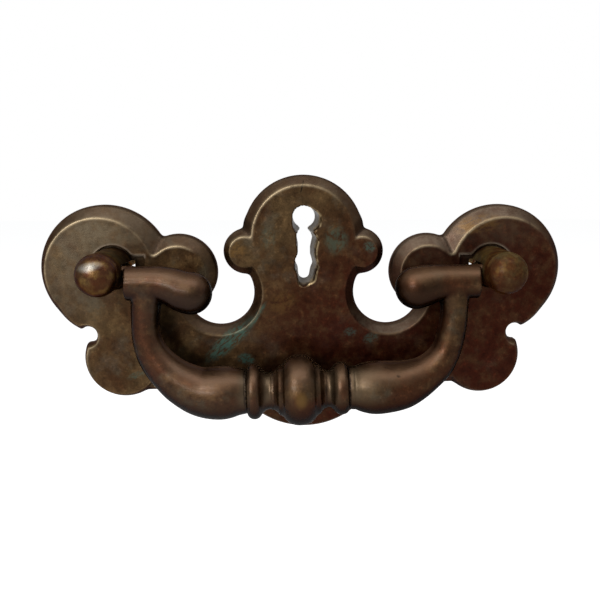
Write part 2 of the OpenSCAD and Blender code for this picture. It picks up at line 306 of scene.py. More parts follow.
def back_height(x, z):
    """Height of the plate's back over the drawer front, in its hollows and nut pockets."""
    depth = hollow_depth * ease((in_hollow(x, z) + 0.2) / 0.6)
    pocket = nut_pocket_r - away(np.abs(x), z, (post_x, 0))
    depth = np.maximum(depth, nut_pocket_depth * (pocket > 0))
    rim_round = 0.2
    return np.maximum(depth, rim_round * (1 - ease(outline(x, z) / 0.1)))


# Lines of equal field value, as the edges that the plate's mesh follows
def contour_lines(values, xs, zs, level):
    """Chains of points where the gridded values cross a level."""
    v = values - level
    sign = v > 0
    nz = len(zs)
    links, place = {}, {}

    def crossing(i, j, down):
        key = (i * nz + j) * 2 + down
        if key not in place:
            a, b = v[i, j], v[i, j + 1] if down else v[i + 1, j]
            share = a / (a - b)
            place[key] = (xs[i] + (0 if down else share * (xs[1] - xs[0])),
                          zs[j] + (share * (zs[1] - zs[0]) if down else 0))
        return key

    mixed = np.zeros((len(xs) - 1, nz - 1), bool)
    corner = sign[:-1, :-1]
    for other in (sign[1:, :-1], sign[:-1, 1:], sign[1:, 1:]):
        mixed |= corner != other
    for i, j in zip(*np.nonzero(mixed)):
        keys = []
        for k, m, down in ((i, j, 0), (i + 1, j, 1), (i, j + 1, 0), (i, j, 1)):
            beyond = sign[k, m + 1] if down else sign[k + 1, m]
            if sign[k, m] != beyond:
                keys.append(crossing(k, m, down))
        for a, b in zip(keys[::2], keys[1::2]):
            links.setdefault(a, []).append(b)
            links.setdefault(b, []).append(a)
    chains = []
    while links:
        chain = [next(iter(links))]
        while links.get(chain[-1]):
            here = chain[-1]
            there = links[here].pop()
            links[there].remove(here)
            if not links[here]:
                del links[here]
            chain.append(there)
        links.pop(chain[-1], None)
        chains.append(np.array([place[k] for k in chain]))
    return chains


def even_points(chain, spacing):
    """The chain's points at even steps; the last one isn't repeated on a closed chain."""
    steps = np.hypot(*np.diff(chain, axis=0).T)
    length = np.concatenate([[0], np.cumsum(steps)])
    count = max(3, int(round(length[-1] / spacing)))
    at = np.linspace(0, length[-1], count, endpoint=False)
    return np.stack([np.interp(at, length, chain[:, k]) for k in (0, 1)], -1)


def slope_of(field, points, nudge):
    """A field's slope along each axis, one row for each point."""
    shifts = np.eye(points.shape[1]) * nudge
    rises = [field(*(points + shift).T) - field(*(points - shift).T) for shift in shifts]
    return np.stack(rises, -1) / (2 * nudge)


def onto_level(points, field, level, nudge, least_slope, longest_move):
    """The points moved along the field's slope until they lie on the level."""
    rounds = 3
    for _ in range(rounds):
        value = field(*points.T) - level
        slope = slope_of(field, points, nudge)
        size = np.maximum((slope ** 2).sum(1), least_slope)
        move = slope * (value / size)[:, None]
        reach = np.maximum(np.linalg.norm(move, axis=1), 1e-9)
        points = points - move * np.minimum(1, longest_move / reach)[:, None]
    return points


def plate_plan():
    """Points and triangles of the plate seen from the front, with edges along every feature line."""
    grid = 0.3
    margin = 1.05
    xs = np.arange(plate_low[0] - margin, plate_high[0] + 1, grid)
    zs = np.arange(plate_low[2] - margin, plate_high[2] + 1, grid)
    gx, gz = np.meshgrid(xs, zs, indexing="ij")
    lines = [
        (outline, (0, 0.05, 0.11, 0.18, 0.32, 0.5, 0.68, 0.82, 0.9, 0.95, 1, 1.05, 1.1, 1.18, 1.3, 1.5), 0.5),
        (outside_seat, (-0.06, 0, 0.12, 0.24, 0.36, 0.6, 0.9), 0.35),
        (outside_slot, (0,), 0.4),
        (outside_key, (0, 0.3, 0.6, 0.9), 0.35),
        (outside_front_key, (0, 0.12, 0.3, 0.5, 0.8), 0.35),
        (in_hollow, (-0.2, 0.1, 0.4), 0.9),
        (lambda x, z: nut_pocket_r - away(np.abs(x), z, (post_x, 0)), (-0.02, 0.02), 0.6),
    ]
    points, edges = [], []
    shortest_chain = 8
    for field, levels, spacing in lines:
        values = field(gx, gz)
        for level in levels:
            for chain in contour_lines(values, xs, zs, level):
                if len(chain) < shortest_chain:
                    continue
                ring = even_points(chain, spacing)
                ring = onto_level(ring, field, level, nudge=0.01, least_slope=0.01, longest_move=0.1)
                first = len(points)
                points += ring.tolist()
                edges += [(first + i, first + (i + 1) % len(ring)) for i in range(len(ring))]
    fill = 1.1
    fx, fz = np.meshgrid(np.arange(xs[0], xs[-1], fill), np.arange(zs[0], zs[-1], fill), indexing="ij")
    fx = fx + 0.31 * fill * np.sin(fz * 7.3)
    open_face = (outline(fx, fz) > 1.65) & (outside_seat(fx, fz) > 1.2) & (outside_key(fx, fz) > 2.6)
    points += np.stack([fx[open_face], fz[open_face]], -1).tolist()
    out = delaunay_2d_cdt([Vector(p) for p in points], edges, [], 0, 1e-4)
    plan = np.array([tuple(p) for p in out[0]])
    triangles = np.array([f for f in out[2] if len(f) == 3])
    a, b, c = (plan[triangles[:, k]] for k in range(3))
    turn = (b[:, 0] - a[:, 0]) * (c[:, 1] - a[:, 1]) - (b[:, 1] - a[:, 1]) * (c[:, 0] - a[:, 0])
    triangles = np.where((turn < 0)[:, None], triangles[:, ::-1], triangles)
    middle = (a + b + c) / 3
    x, z = middle.T
    metal = (outline(x, z) > 0) & (outside_slot(x, z) > 0) & (outside_key(x, z) > 0) & (np.abs(turn) > 1e-7)
    return plan, triangles[metal]


def new_object(name, points, faces, body, node, sharp_from=None):
    """A mesh object from points in millimetres that rides on a CAD body, smooth up to an edge angle."""
    mesh = bpy.data.meshes.new(name)
    mesh.from_pydata((np.asarray(points) * MM).tolist(), [], [list(map(int, f)) for f in faces])
    mesh.validate()
    mesh.shade_smooth()
    if sharp_from:
        mesh.set_sharp_from_angle(angle=math.radians(sharp_from))
    piece = bpy.data.objects.new(name, mesh)
    bpy.context.scene.collection.objects.link(piece)
    if node:
        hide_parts(node)
    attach(piece, body)
    return piece


def add_values(piece, name, values):
    """Stores one number per point on the mesh, for its material."""
    attribute = piece.data.attributes.new(name, "FLOAT", "POINT")
    attribute.data.foreach_set("value", np.asarray(values, np.float32))


def front_marks(x, z):
    """How much wear, grime, painted highlight and painted shade each point of the plate's front gets, by the
    mark's name.
    """
    t = outline(x, z)
    inward_x, inward_z = slope_of(outline, np.stack([x, z], -1), 0.05).T
    slope = np.maximum(np.hypot(inward_x, inward_z), 0.1)
    faces_up_left = ease((0.6 * inward_x - 0.8 * inward_z) / slope * 0.9 + 0.05)
    faces_up = ease(-inward_z / slope)
    from_bite = away(np.abs(x), z, u_bite[0]) - u_bite[1] - u_bite[2]
    by_bite = 1 - ease((from_bite - 0.8) / 1.2)
    joined = t - outline(x, z, 0.001)
    from_seat = outside_seat(x, z)
    lip = outside_front_key(x, z)
    on_lip = bell(lip - 0.12, 0.2)
    # Crest lines: wear, with a painted highlight that is strongest where they face up and to the left
    crest_highlight = (0.06 + 0.94 * faces_up_left) * (1 - 0.75 * by_bite)
    return {
        "crest": bell((t - 1) / slope, 0.32) * crest_highlight,
        # Outer edges: painted shade where they face away from the upper left, painted highlight where they
        # face it
        "band": 1 - ease((t - 0.75) / 0.25),
        "edge": bell(t / slope, 0.45) * (1 - faces_up_left),
        "lit_edge_highlight": bell(t / slope, 0.5) * faces_up_left,
        # Upward-facing part of the bevel band: a painted highlight, stronger on the right
        "band_top_highlight": (1 - ease((t - 0.8) / 0.2)) * faces_up * (0.35 + 0.65 * ease(x / 20)),
        # Painted shade in the creases where the lobes meet
        "valley_shade": ease((joined - 0.01) / 0.07) * (1 - ease((t - 0.95) / 0.2)),
        # The keyhole's leaning wall: a grey-green non-metal tone, made paler as painted light
        "key_wall": (leaning_wall(x, z) < plate_t - 0.02) * (1 - ease((lip + 0.05) / 0.1)),
        # Painted highlight along the keyhole's lip, on its right and lower sides
        "key_rim_highlight": on_lip * ease((x - 0.5) / 1.5) + 0.5 * on_lip * ease((-3 - z) / 1.5),
        # Floor of a post's seat: dirt and painted shade in the recess
        "seat": ease(-from_seat / 0.2),
        # Painted highlight along the upper part of a seat's rim
        "seat_rim_highlight": bell(from_seat - 0.3, 0.28) * ease((z - 2.2) / 0.6),
    }


def build_plate():
    plan, triangles = plate_plan()
    used = np.unique(triangles)
    new_index = np.full(len(plan), -1)
    new_index[used] = np.arange(len(used))
    plan, triangles = plan[used], new_index[triangles]
    x, z = plan.T
    count = len(plan)
    front_y = front_height(x, z)
    thinnest = 0.25
    back_y = np.minimum(back_height(x, z), front_y - thinnest)
    front = np.stack([x, -front_y, z], -1)
    back = np.stack([x, -back_y, z], -1)
    sides = [side for a, b, c in triangles for side in ((a, b), (b, c), (c, a))]
    paired = set(sides)
    walls = [(i, i + count, j + count, j) for i, j in sides if (j, i) not in paired]
    faces = triangles.tolist() + (triangles[:, ::-1] + count).tolist() + walls
    points = np.concatenate([front, back])
    piece = new_object("plate_casting", points, faces, "base", "backplate", sharp_from=38)
    none = np.zeros(count)
    for name, front_values in front_marks(x, z).items():
        add_values(piece, name, np.concatenate([front_values, none]))
    add_values(piece, "back", np.concatenate([none, none + 1]))
    return piece


# Solid fields turned into meshes
def surface_mesh(field, low, high, step):
    """Points and quads of the surface where a field of points is zero, on a grid of the given step."""
    low, high = np.asarray(low, float), np.asarray(high, float)
    coarse = 4
    shape = np.ceil((high - low) / (step * coarse)).astype(int) + 2
    axes = [low[k] + step * coarse * np.arange(shape[k]) for k in range(3)]
    rough = field(*np.meshgrid(*axes, indexing="ij"))
    fine_shape = (shape - 1) * coarse + 1
    near_by = 2.2 * step * coarse
    near = np.abs(rough) < near_by
    values, wanted = (a.repeat(coarse, 0).repeat(coarse, 1).repeat(coarse, 2) for a in (rough, near))
    half = coarse // 2
    values, wanted = (np.pad(a, ((half, 0),) * 3, mode="edge")[tuple(slice(0, n) for n in fine_shape)]
                      for a in (values, wanted))
    where = np.argwhere(wanted)
    spots = low + where * step
    values[wanted] = field(*spots.T)

    inside = values > 0
    corners = [(i, j, k) for i in (0, 1) for j in (0, 1) for k in (0, 1)]
    part = [inside[tuple(slice(c, n - 1 + c) for c, n in zip(corner, fine_shape))] for corner in corners]
    total = sum(p.astype(np.int8) for p in part)
    cells = (total > 0) & (total < 8)
    index = np.full(cells.shape, -1)
    found = np.argwhere(cells)
    index[cells] = np.arange(len(found))
    weight = np.zeros(len(found))
    place = np.zeros((len(found), 3))
    for a in corners:
        for axis in range(3):
            if a[axis]:
                continue
            b = list(a)
            b[axis] = 1
            va = values[tuple((found + a).T)]
            vb = values[tuple((found + b).T)]
            cut = (va > 0) != (vb > 0)
            share = np.where(cut, va / np.where(cut, va - vb, 1), 0)
            spot = np.array(a) + share[:, None] * (np.array(b) - np.array(a))
            place += np.where(cut[:, None], spot, 0)
            weight += cut
    points = low + (found + place / weight[:, None]) * step

    quads = []
    for axis in range(3):
        u, v = (axis + 1) % 3, (axis + 2) % 3
        start = [slice(1, n - 1) for n in fine_shape]
        start[axis] = slice(0, fine_shape[axis] - 1)
        after = list(start)
        after[axis] = slice(1, fine_shape[axis])
        a, b = inside[tuple(start)], inside[tuple(after)]
        for sign, flip in ((a & ~b, False), (b & ~a, True)):
            at = np.argwhere(sign)
            at += [1 if k != axis else 0 for k in range(3)]
            ring = []
            for du, dv in ((1, 1), (0, 1), (0, 0), (1, 0)):
                c = at.copy()
                c[:, u] -= du
                c[:, v] -= dv
                ring.append(index[tuple(c.T)])
            quad = np.stack(ring, -1)
            quads.append(quad[:, ::-1] if flip else quad)
    quads = np.concatenate(quads)

    points = onto_level(points, field, 0, nudge=0.05 * step, least_slope=0.05, longest_move=0.4 * step)
    return points, quads


def through_points(path, count):
    """Smooth curve through the path's rows, each [x, z, radius]."""
    path = np.array(path, float)
    last = len(path) - 1
    t = np.linspace(0, last, count)
    i = np.minimum(t.astype(int), last - 1)
    u = (t - i)[:, None]
    a, b, c, d = (path[np.clip(i + k, 0, last)] for k in (-1, 0, 1, 2))
    square = 2 * a - 5 * b + 4 * c - d
    cube = 3 * b - a - 3 * c + d
    return 0.5 * (2 * b + (c - a) * u + square * u ** 2 + cube * u ** 3)


def rod(x, y, z, path):
    """Field of a round rod along a path in the bail's plane."""
    best = np.full(np.shape(x), far_outside)
    across = y - pivot_y
    for (ax, az, ar), (bx, bz, br) in zip(path[:-1], path[1:]):
        dx, dz = bx - ax, bz - az
        along = np.clip(((x - ax) * dx + (z - az) * dz) / (dx * dx + dz * dz), 0, 1)
        gap = np.sqrt((x - ax - along * dx) ** 2 + (z - az - along * dz) ** 2 + across ** 2)
        best = np.maximum(best, ar + along * (br - ar) - gap)
    return best


# Bail: turned centre, two swelling arms, and two bars with drooping nubs and pintles
bail_drop = 31.2
bail_tilt = math.radians(1.5)
bar_drop = 2.8
bar_r = 4.35
bar_face = post_x - shank_r - 0.35
pintle_r = 1.7
pintle_end = post_x - 2.7
pintle_root = 2
seam_h = 0.28
nub_droop = 4.9
nub_lean = 0.5
nub_r = 5.5
arm_start = 11
far_outside = -99.0

# Points along the arms, each [distance from the middle, height, radius]
left_arm = [
    (14.6, -31.2, 5), (16.4, -31.2, 5.75), (18.8, -31, 6.45), (22.2, -31.3, 6.95), (26.9, -30.8, 6.4),
    (31.5, -28.5, 5.65), (34.6, -26, 5), (37.2, -23.2, 4.5), (39.3, -19.8, 4), (40.4, -16.2, 3.6),
    (40.7, -12.2, 3.4), (40.4, -8.2, 3.6), (39.6, -3.4, 3.8)]
right_arm = [
    (11.8, -31.2, 4.9), (13.2, -31.2, 5.55), (15.2, -31.2, 6), (17.1, -31.3, 6.75), (19.6, -31.4, 7),
    (24.6, -31.1, 6.5), (28, -30.1, 5.8), (31.5, -28.4, 4.9), (34.6, -25.9, 4.4), (36.7, -22.9, 3.9),
    (38, -19.2, 3.65), (38.8, -14.8, 3.5), (39, -11, 3.4), (39, -8.2, 3.6), (38.8, -3.4, 3.8)]

# Turned centre: its ball, cones, necks and beads, by the distance from its middle
ball_x = -1.3
ball_r = 9.3
ball_half = 6
ball_power = 2.3
ball_groove = (4.25, 0.22)
cone_r = 6.85
cone_slope = 0.85
neck_r = 4.7
neck_start = 6.8
bead_base_r = 5.5
bead_at = 11.4
bead_half = 1.85
bead_r = 7.1
collar_r = 5.6
turned_half = 14.6
turned_blend = 0.25


def turned_radius(a, bead_top_r):
    """Radius of the turned centre at a distance from its middle."""
    a = np.abs(a)
    groove_at, groove_w = ball_groove
    ball = ball_r * np.maximum(1 - np.minimum(a / ball_half, 1) ** ball_power, 0) ** (1 / ball_power)
    ball = ball - groove_w * bell(a - groove_at, groove_w)
    cone = cone_r - cone_slope * (a - 4.5) + turned_blend * bell(a - 5.3, 0.4)
    cone = np.where((a > 4) & (a < 7), cone, 0)
    fillet = np.where(a < 8, neck_r + 0.35 * bell(a - 6.9, 0.3), 0)
    cove = np.where((a > neck_start) & (a < 9.75), neck_r + 0.3 * np.maximum(a - 7.4, 0) ** 2, 0)
    bead = np.sqrt(np.maximum(1 - ((a - bead_at) / bead_half) ** 2, 0))
    bead = np.where(bead > 0, bead_base_r + (bead_top_r - bead_base_r) * bead ** 0.9, 0)
    collar = collar_r + 0.1 * (a - 13.4) - 0.25 * bell(a - 13.3, 0.2)
    collar = np.where(a > bead_at, collar, 0)
    radius = smooth_max(ball, np.maximum(cone, fillet), 0.2)
    radius = smooth_max(radius, cove, turned_blend)
    return np.maximum(smooth_max(radius, bead, turned_blend), collar)


def turned_centre(x, y, z):
    """The ball, its cones, necks and beads; the left side runs a little longer than the right."""
    x, z = x - ball_x, z + bail_drop - ball_x * math.tan(bail_tilt)
    along = x * math.cos(bail_tilt) + z * math.sin(bail_tilt)
    up = -x * math.sin(bail_tilt) + z * math.cos(bail_tilt)
    a = np.abs(along)
    a = a + 0.5 * np.sign(along) * ease((a - 5) / 5)
    own_bead_r = bead_r - 0.18 * np.sign(along)
    profile = turned_radius(a, own_bead_r)
    nudge = 0.15
    slope = (turned_radius(a + nudge, own_bead_r) - turned_radius(a - nudge, own_bead_r)) / (2 * nudge)
    field = (profile - np.hypot(up, y - pivot_y)) / np.sqrt(1 + np.clip(slope, -3, 3) ** 2)
    return np.minimum(field, turned_half - a)


def arm_side(x, y, z, side):
    """The arm, bar, nub and pintle of one side."""
    arm = through_points(left_arm if side < 0 else right_arm, 90)
    fade = ease((arm[:, 1] + bar_drop) / (bar_drop - bail_drop / 2))
    arm[:, 1] += side * arm[:, 0] * math.tan(bail_tilt) * fade
    droop = nub_droop - side * nub_lean
    halfway_down = -(bar_drop + droop) / 2
    bar = through_points([
        (bar_face - 0.4, -bar_drop, bar_r), (bar_face - 4, -bar_drop, bar_r),
        (bar_face - 8, -bar_drop - 0.1, bar_r + 0.1), (bar_face - 11.6, halfway_down + 0.3, nub_r - 0.6),
        (bar_face - 14, -droop + 0.5, nub_r - 0.2), (bar_face - 16.1, -droop, nub_r)], 24)
    x = side * x
    seam = seam_h * bell(y - pivot_y, 0.4) * ease((x - 18) / 3)
    arm_field = rod(x, y, z, arm) + seam
    bar_field = smooth_min(rod(x, y, z, bar), bar_face - x, 0.35)
    arm_field = np.minimum(arm_field, bar_face - 0.6 - x)
    field = smooth_max(arm_field, bar_field, 0.7)
    pintle = np.minimum(pintle_r - np.hypot(y - pivot_y, z), pintle_end - x)
    pintle = np.minimum(pintle, x - bar_face + pintle_root)
    return smooth_max(field, pintle, 0.15)


def bail_field(x, y, z):
    field = np.full(np.shape(x), far_outside)
    for side in (-1, 1):
        own = side * x > arm_start
        if own.any():
            field[own] = arm_side(x[own], y[own], z[own], side)
    middle = np.abs(x) < 17
    field[middle] = smooth_max(turned_centre(x[middle], y[middle], z[middle]), field[middle], turned_blend)
    return field


def bail_marks(points):
    """How much wear, grime, painted light and painted shade each point of the bail gets, by the mark's name.
    """
    normal = -slope_of(bail_field, points, 0.1)
    normal /= np.maximum(np.linalg.norm(normal, axis=1), 1e-6)[:, None]
    x, y, z = points.T
    faces_out = normal[:, 0] * np.sign(x)
    faces_up = normal[:, 2]
    outer = ease((faces_out - 0.3 * faces_up + 0.1) / 0.3)
    on_arm = ease((np.abs(x) - 20) / 5) * ease((-5 - z) / 3)
    reach = 1.4
    room = bail_field(*(points + normal * reach).T) + reach
    on_nub = ease((39 - np.abs(x)) / 7) * ease((z + 14) / 3)
    from_ball = np.abs(x - ball_x)
    on_run = ease((-24 - z) / 2)
    return {
        "seam": bell(y - pivot_y, 0.5) * outer * on_arm,
        # Painted shade, with grime, where grooves and joins leave little room around the surface
        "groove": ease((room - 0.1) / 0.7),
        # Painted shade on faces turned downwards
        "under": ease((0.15 - faces_up) / 0.85),
        # Painted light on faces turned upwards
        "over": ease((faces_up - 0.1) / 0.6),
        # Painted shade on the lower sides of the nubs
        "nub": on_nub * ease((0.5 - faces_up) / 0.5),
        "cove": np.maximum(bell(from_ball - 8.4, 1.7), bell(from_ball - 14.2, 1.5)) * on_run,
        # Painted highlight, beige-green, at the start of the right swelling
        "right_start_highlight": bell(x - 15.5, 3.5) * on_run,
    }


def build_bail():
    low, high = (-49.5, pivot_y - 10, -42.5), (49.5, pivot_y + 10, 3)
    points, quads = surface_mesh(bail_field, low, high, 0.32)
    piece = new_object("bail_casting", points, quads, "bail", "bail")
    for name, values in bail_marks(points).items():
        add_values(piece, name, values)
    return piece


# Posts: domed head, shank with a side slot, and a threaded stud behind the plate
post_margin = 0.6
head_r = 5.15
head_flat = 0.78
head_front = -plate_t - 20.15
head_y = head_front + head_r * head_flat
seat_y = -seat_floor
stud_end = post_high[1]
stud_root_r = 2.35
thread_pitch = 0.8
thread_depth = 0.42
nut_af = nut_high[2] - nut_low[2]


def post_field(x, y, z, side):
    x = side * x - post_x
    radius = np.hypot(x, z)
    lip_h = 0.12
    lip = lip_h * bell(y - head_y - 0.5, 0.35)
    groove = 0.1 * bell(y - head_y - 1.15, 0.3)
    shank = np.minimum(shank_r - lip_h + lip - groove - radius, np.minimum(y - head_y, seat_y - y))
    dome = (head_r - np.sqrt(radius ** 2 + ((y - head_y) / head_flat) ** 2)) * head_flat
    field = smooth_max(shank, np.minimum(dome, head_y + 2 - y), 0.15)
    slot_depth = -(stud_root_r + 0.05) - x
    slot = np.minimum(np.minimum(slot_depth, slot_half - np.abs(z)), y - pivot_y)
    slot_start = np.minimum(slot_half - np.hypot(y - pivot_y, z), slot_depth)
    field = smooth_min(field, -np.maximum(slot, slot_start), 0.25)
    root = np.minimum(stud_root_r - radius, np.minimum(y - seat_y + 0.5, -y))
    return np.maximum(field, root)


def mesh_at_post(field, side, reach, front, back, step):
    """Surface of a field in a box around a post's axis."""
    low = (side * post_x - reach, front, -reach)
    high = (side * post_x + reach, back, reach)
    return surface_mesh(lambda x, y, z: field(x, y, z, side), low, high, step)


def build_post(side, word):
    front = head_front - post_margin
    points, quads = mesh_at_post(post_field, side, shank_r + post_margin, front, post_margin, 0.24)
    name, node = f"post_casting_{word}", f"post_{word}"
    return new_object(name, points, quads, "base", node, sharp_from=50)


def build_stud(side, word):
    """Threaded stud, as rings whose radius follows the thread."""
    around = 28
    ring_step = 0.1
    start, end = -0.3, stud_end
    rings = int((end - start) / ring_step)
    y = np.linspace(start, end, rings + 1)[:, None]
    turn = np.linspace(0, 2 * math.pi, around, endpoint=False)[None, :]
    phase = (y / thread_pitch - turn / (2 * math.pi)) % 1
    tooth = np.clip(1.15 - 2.6 * np.abs(phase - 0.5), 0, 1)
    runout = ease((y - 1.2) / 0.8)
    radius = stud_r - thread_depth * runout * (1 - tooth)
    end_chamfer = 0.5
    radius = np.minimum(radius, stud_r - end_chamfer + np.maximum(end - y, 0))
    across = side * post_x + radius * np.cos(turn)
    points = np.stack([across, y + 0 * turn, radius * np.sin(turn)], -1).reshape(-1, 3)
    quads = []
    for i in range(rings):
        here, there = i * around, (i + 1) * around
        for j in range(around):
            k = (j + 1) % around
            quads.append((here + j, there + j, there + k, here + k))
    first, last = len(points), len(points) + 1
    points = np.concatenate([points, [(side * post_x, start, 0), (side * post_x, end, 0)]])
    caps = [(first, j, (j + 1) % around) for j in range(around)]
    top = rings * around
    caps += [(last, top + (j + 1) % around, top + j) for j in range(around)]
    return new_object(f"stud_thread_{word}", points, quads + caps, "base", None, sharp_from=60)


def nut_field(x, y, z, side):
    x = side * x - post_x
    radius = np.hypot(x, z)
    from_ends = np.minimum(y - nut_low[1], nut_high[1] - y)
    field = from_ends
    for i in range(3):
        angle = math.radians(60 * i + 90)
        field = np.minimum(field, nut_af / 2 - np.abs(x * math.cos(angle) + z * math.sin(angle)))
    chamfer = (nut_af / 2 + 0.28 - radius) * 0.85
    field = np.minimum(field, chamfer + 0.5 * from_ends)
    bore = radius - stud_root_r - 0.04
    bore = np.minimum(bore, (radius - stud_root_r - 0.4) * 0.7 + 0.7 * from_ends)
    return np.minimum(field, bore)


def build_nut(side, word):
    margin = 0.4
    reach = nut_af / 2 / math.cos(math.radians(30)) + margin
    points, quads = mesh_at_post(nut_field, side, reach, nut_low[1] - margin, nut_high[1] + margin, 0.17)
    name, node = f"nut_machined_{word}", f"nut_{word}"
    return new_object(name, points, quads, "base", node, sharp_from=30)


# Materials: aged brass whose patina, wear, verdigris, painted highlights and painted shade follow the
# casting's own features

# Olive, brown and red tones of each piece's patina
plate_tones = [(0.042, 0.025, 0.0105), (0.03, 0.0155, 0.006), (0.021, 0.0028, 0.0009)]
bail_tones = [(0.04, 0.0225, 0.01), (0.031, 0.015, 0.0065), (0.034, 0.0115, 0.0045)]
post_tones = [(0.062, 0.043, 0.017), (0.042, 0.025, 0.009), (0.04, 0.012, 0.004)]
nut_tones = [(0.1, 0.066, 0.03), (0.07, 0.042, 0.02), (0.055, 0.026, 0.014)]

# Colours of what lies over the patina, and of the heads' darker bottom and painted highlight
verdigris = (0.032, 0.06, 0.046)
green_grime = (0.034, 0.042, 0.028)
pale_dust = (0.075, 0.059, 0.038)
yellow_wear = (0.09, 0.048, 0.014)
crack_dark = (0.004, 0.003, 0.002)
pit_dark = (0.006, 0.0035, 0.002)
ball_gold = (0.1, 0.055, 0.014)
head_gold = (0.12, 0.072, 0.02)
head_low_dark = (0.026, 0.007, 0.002)
painted_head_highlight = (0.2, 0.2, 0.18)

# Colour that each mark on the meshes brings out
mark_colours = {
    "lit_edge_highlight": (0.11, 0.088, 0.066), "band": (0.034, 0.019, 0.011), "edge": (0.01, 0.006, 0.004),
    "valley_shade": (0.009, 0.005, 0.003), "band_top_highlight": (0.1, 0.078, 0.056), "seat": (0.012, 0.008, 0.0045),
    "seat_rim_highlight": (0.17, 0.135, 0.1), "key_wall": (0.05, 0.04, 0.029), "key_rim_highlight": (0.3, 0.22, 0.12),
    "crest": (0.24, 0.185, 0.115), "back": (0.085, 0.058, 0.033), "over": (0.08, 0.045, 0.0255),
    "cove": (0.06, 0.043, 0.025), "right_start_highlight": (0.055, 0.039, 0.023), "under": (0.012, 0.0034, 0.0009),
    "groove": (0.006, 0.003, 0.0017), "seam": (0.13, 0.085, 0.06), "nub": (0.013, 0.006, 0.003)}

# Places on the front, at face_y, each [x, z, half width, half height, share], some with a turn in degrees
face_y = -5
pale_places = [(-60, 1, 8, 13, 0.45), (-51, 10, 13, 5, 0.5), (51, 9.5, 12, 4.5, 0.15), (33.5, -1, 8, 7, 0.15)]
green_places = [
    (-12.9, -13.6, 4.2, 0.7, 0.7, 56), (-15.9, -25.4, 2.1, 1.4, 1, -15), (17.7, 5.2, 1.5, 1.3, 0.6, -30),
    (12.6, -18.1, 1.6, 1.2, 0.4, 0), (18.3, -19.8, 2, 1.3, 0.45, 20), (-45.8, -29.6, 2.4, 0.9, 0.35, 20),
    (-9.5, 7.5, 2, 2.6, 0.2, 0)]
shaded_places = [(-37.8, -15.5, 3, 8.5, 0.55, 0), (-30, -25.6, 8, 1.9, 0.35, -12), (-2, -26.5, 11, 2, 0.5, 0)]
bail_pits = [(18.9, -22.9, 0.8, 0.5), (20.9, -24.6, 1.1, 0.45), (24, -26.5, 0.5, 0.3)]


def new_node(tree, kind):
    return tree.nodes.new("ShaderNode" + kind)


def join(tree, first, second, socket):
    """Links a node's first output to another node's input."""
    tree.links.new(first.outputs[0], second.inputs[socket])


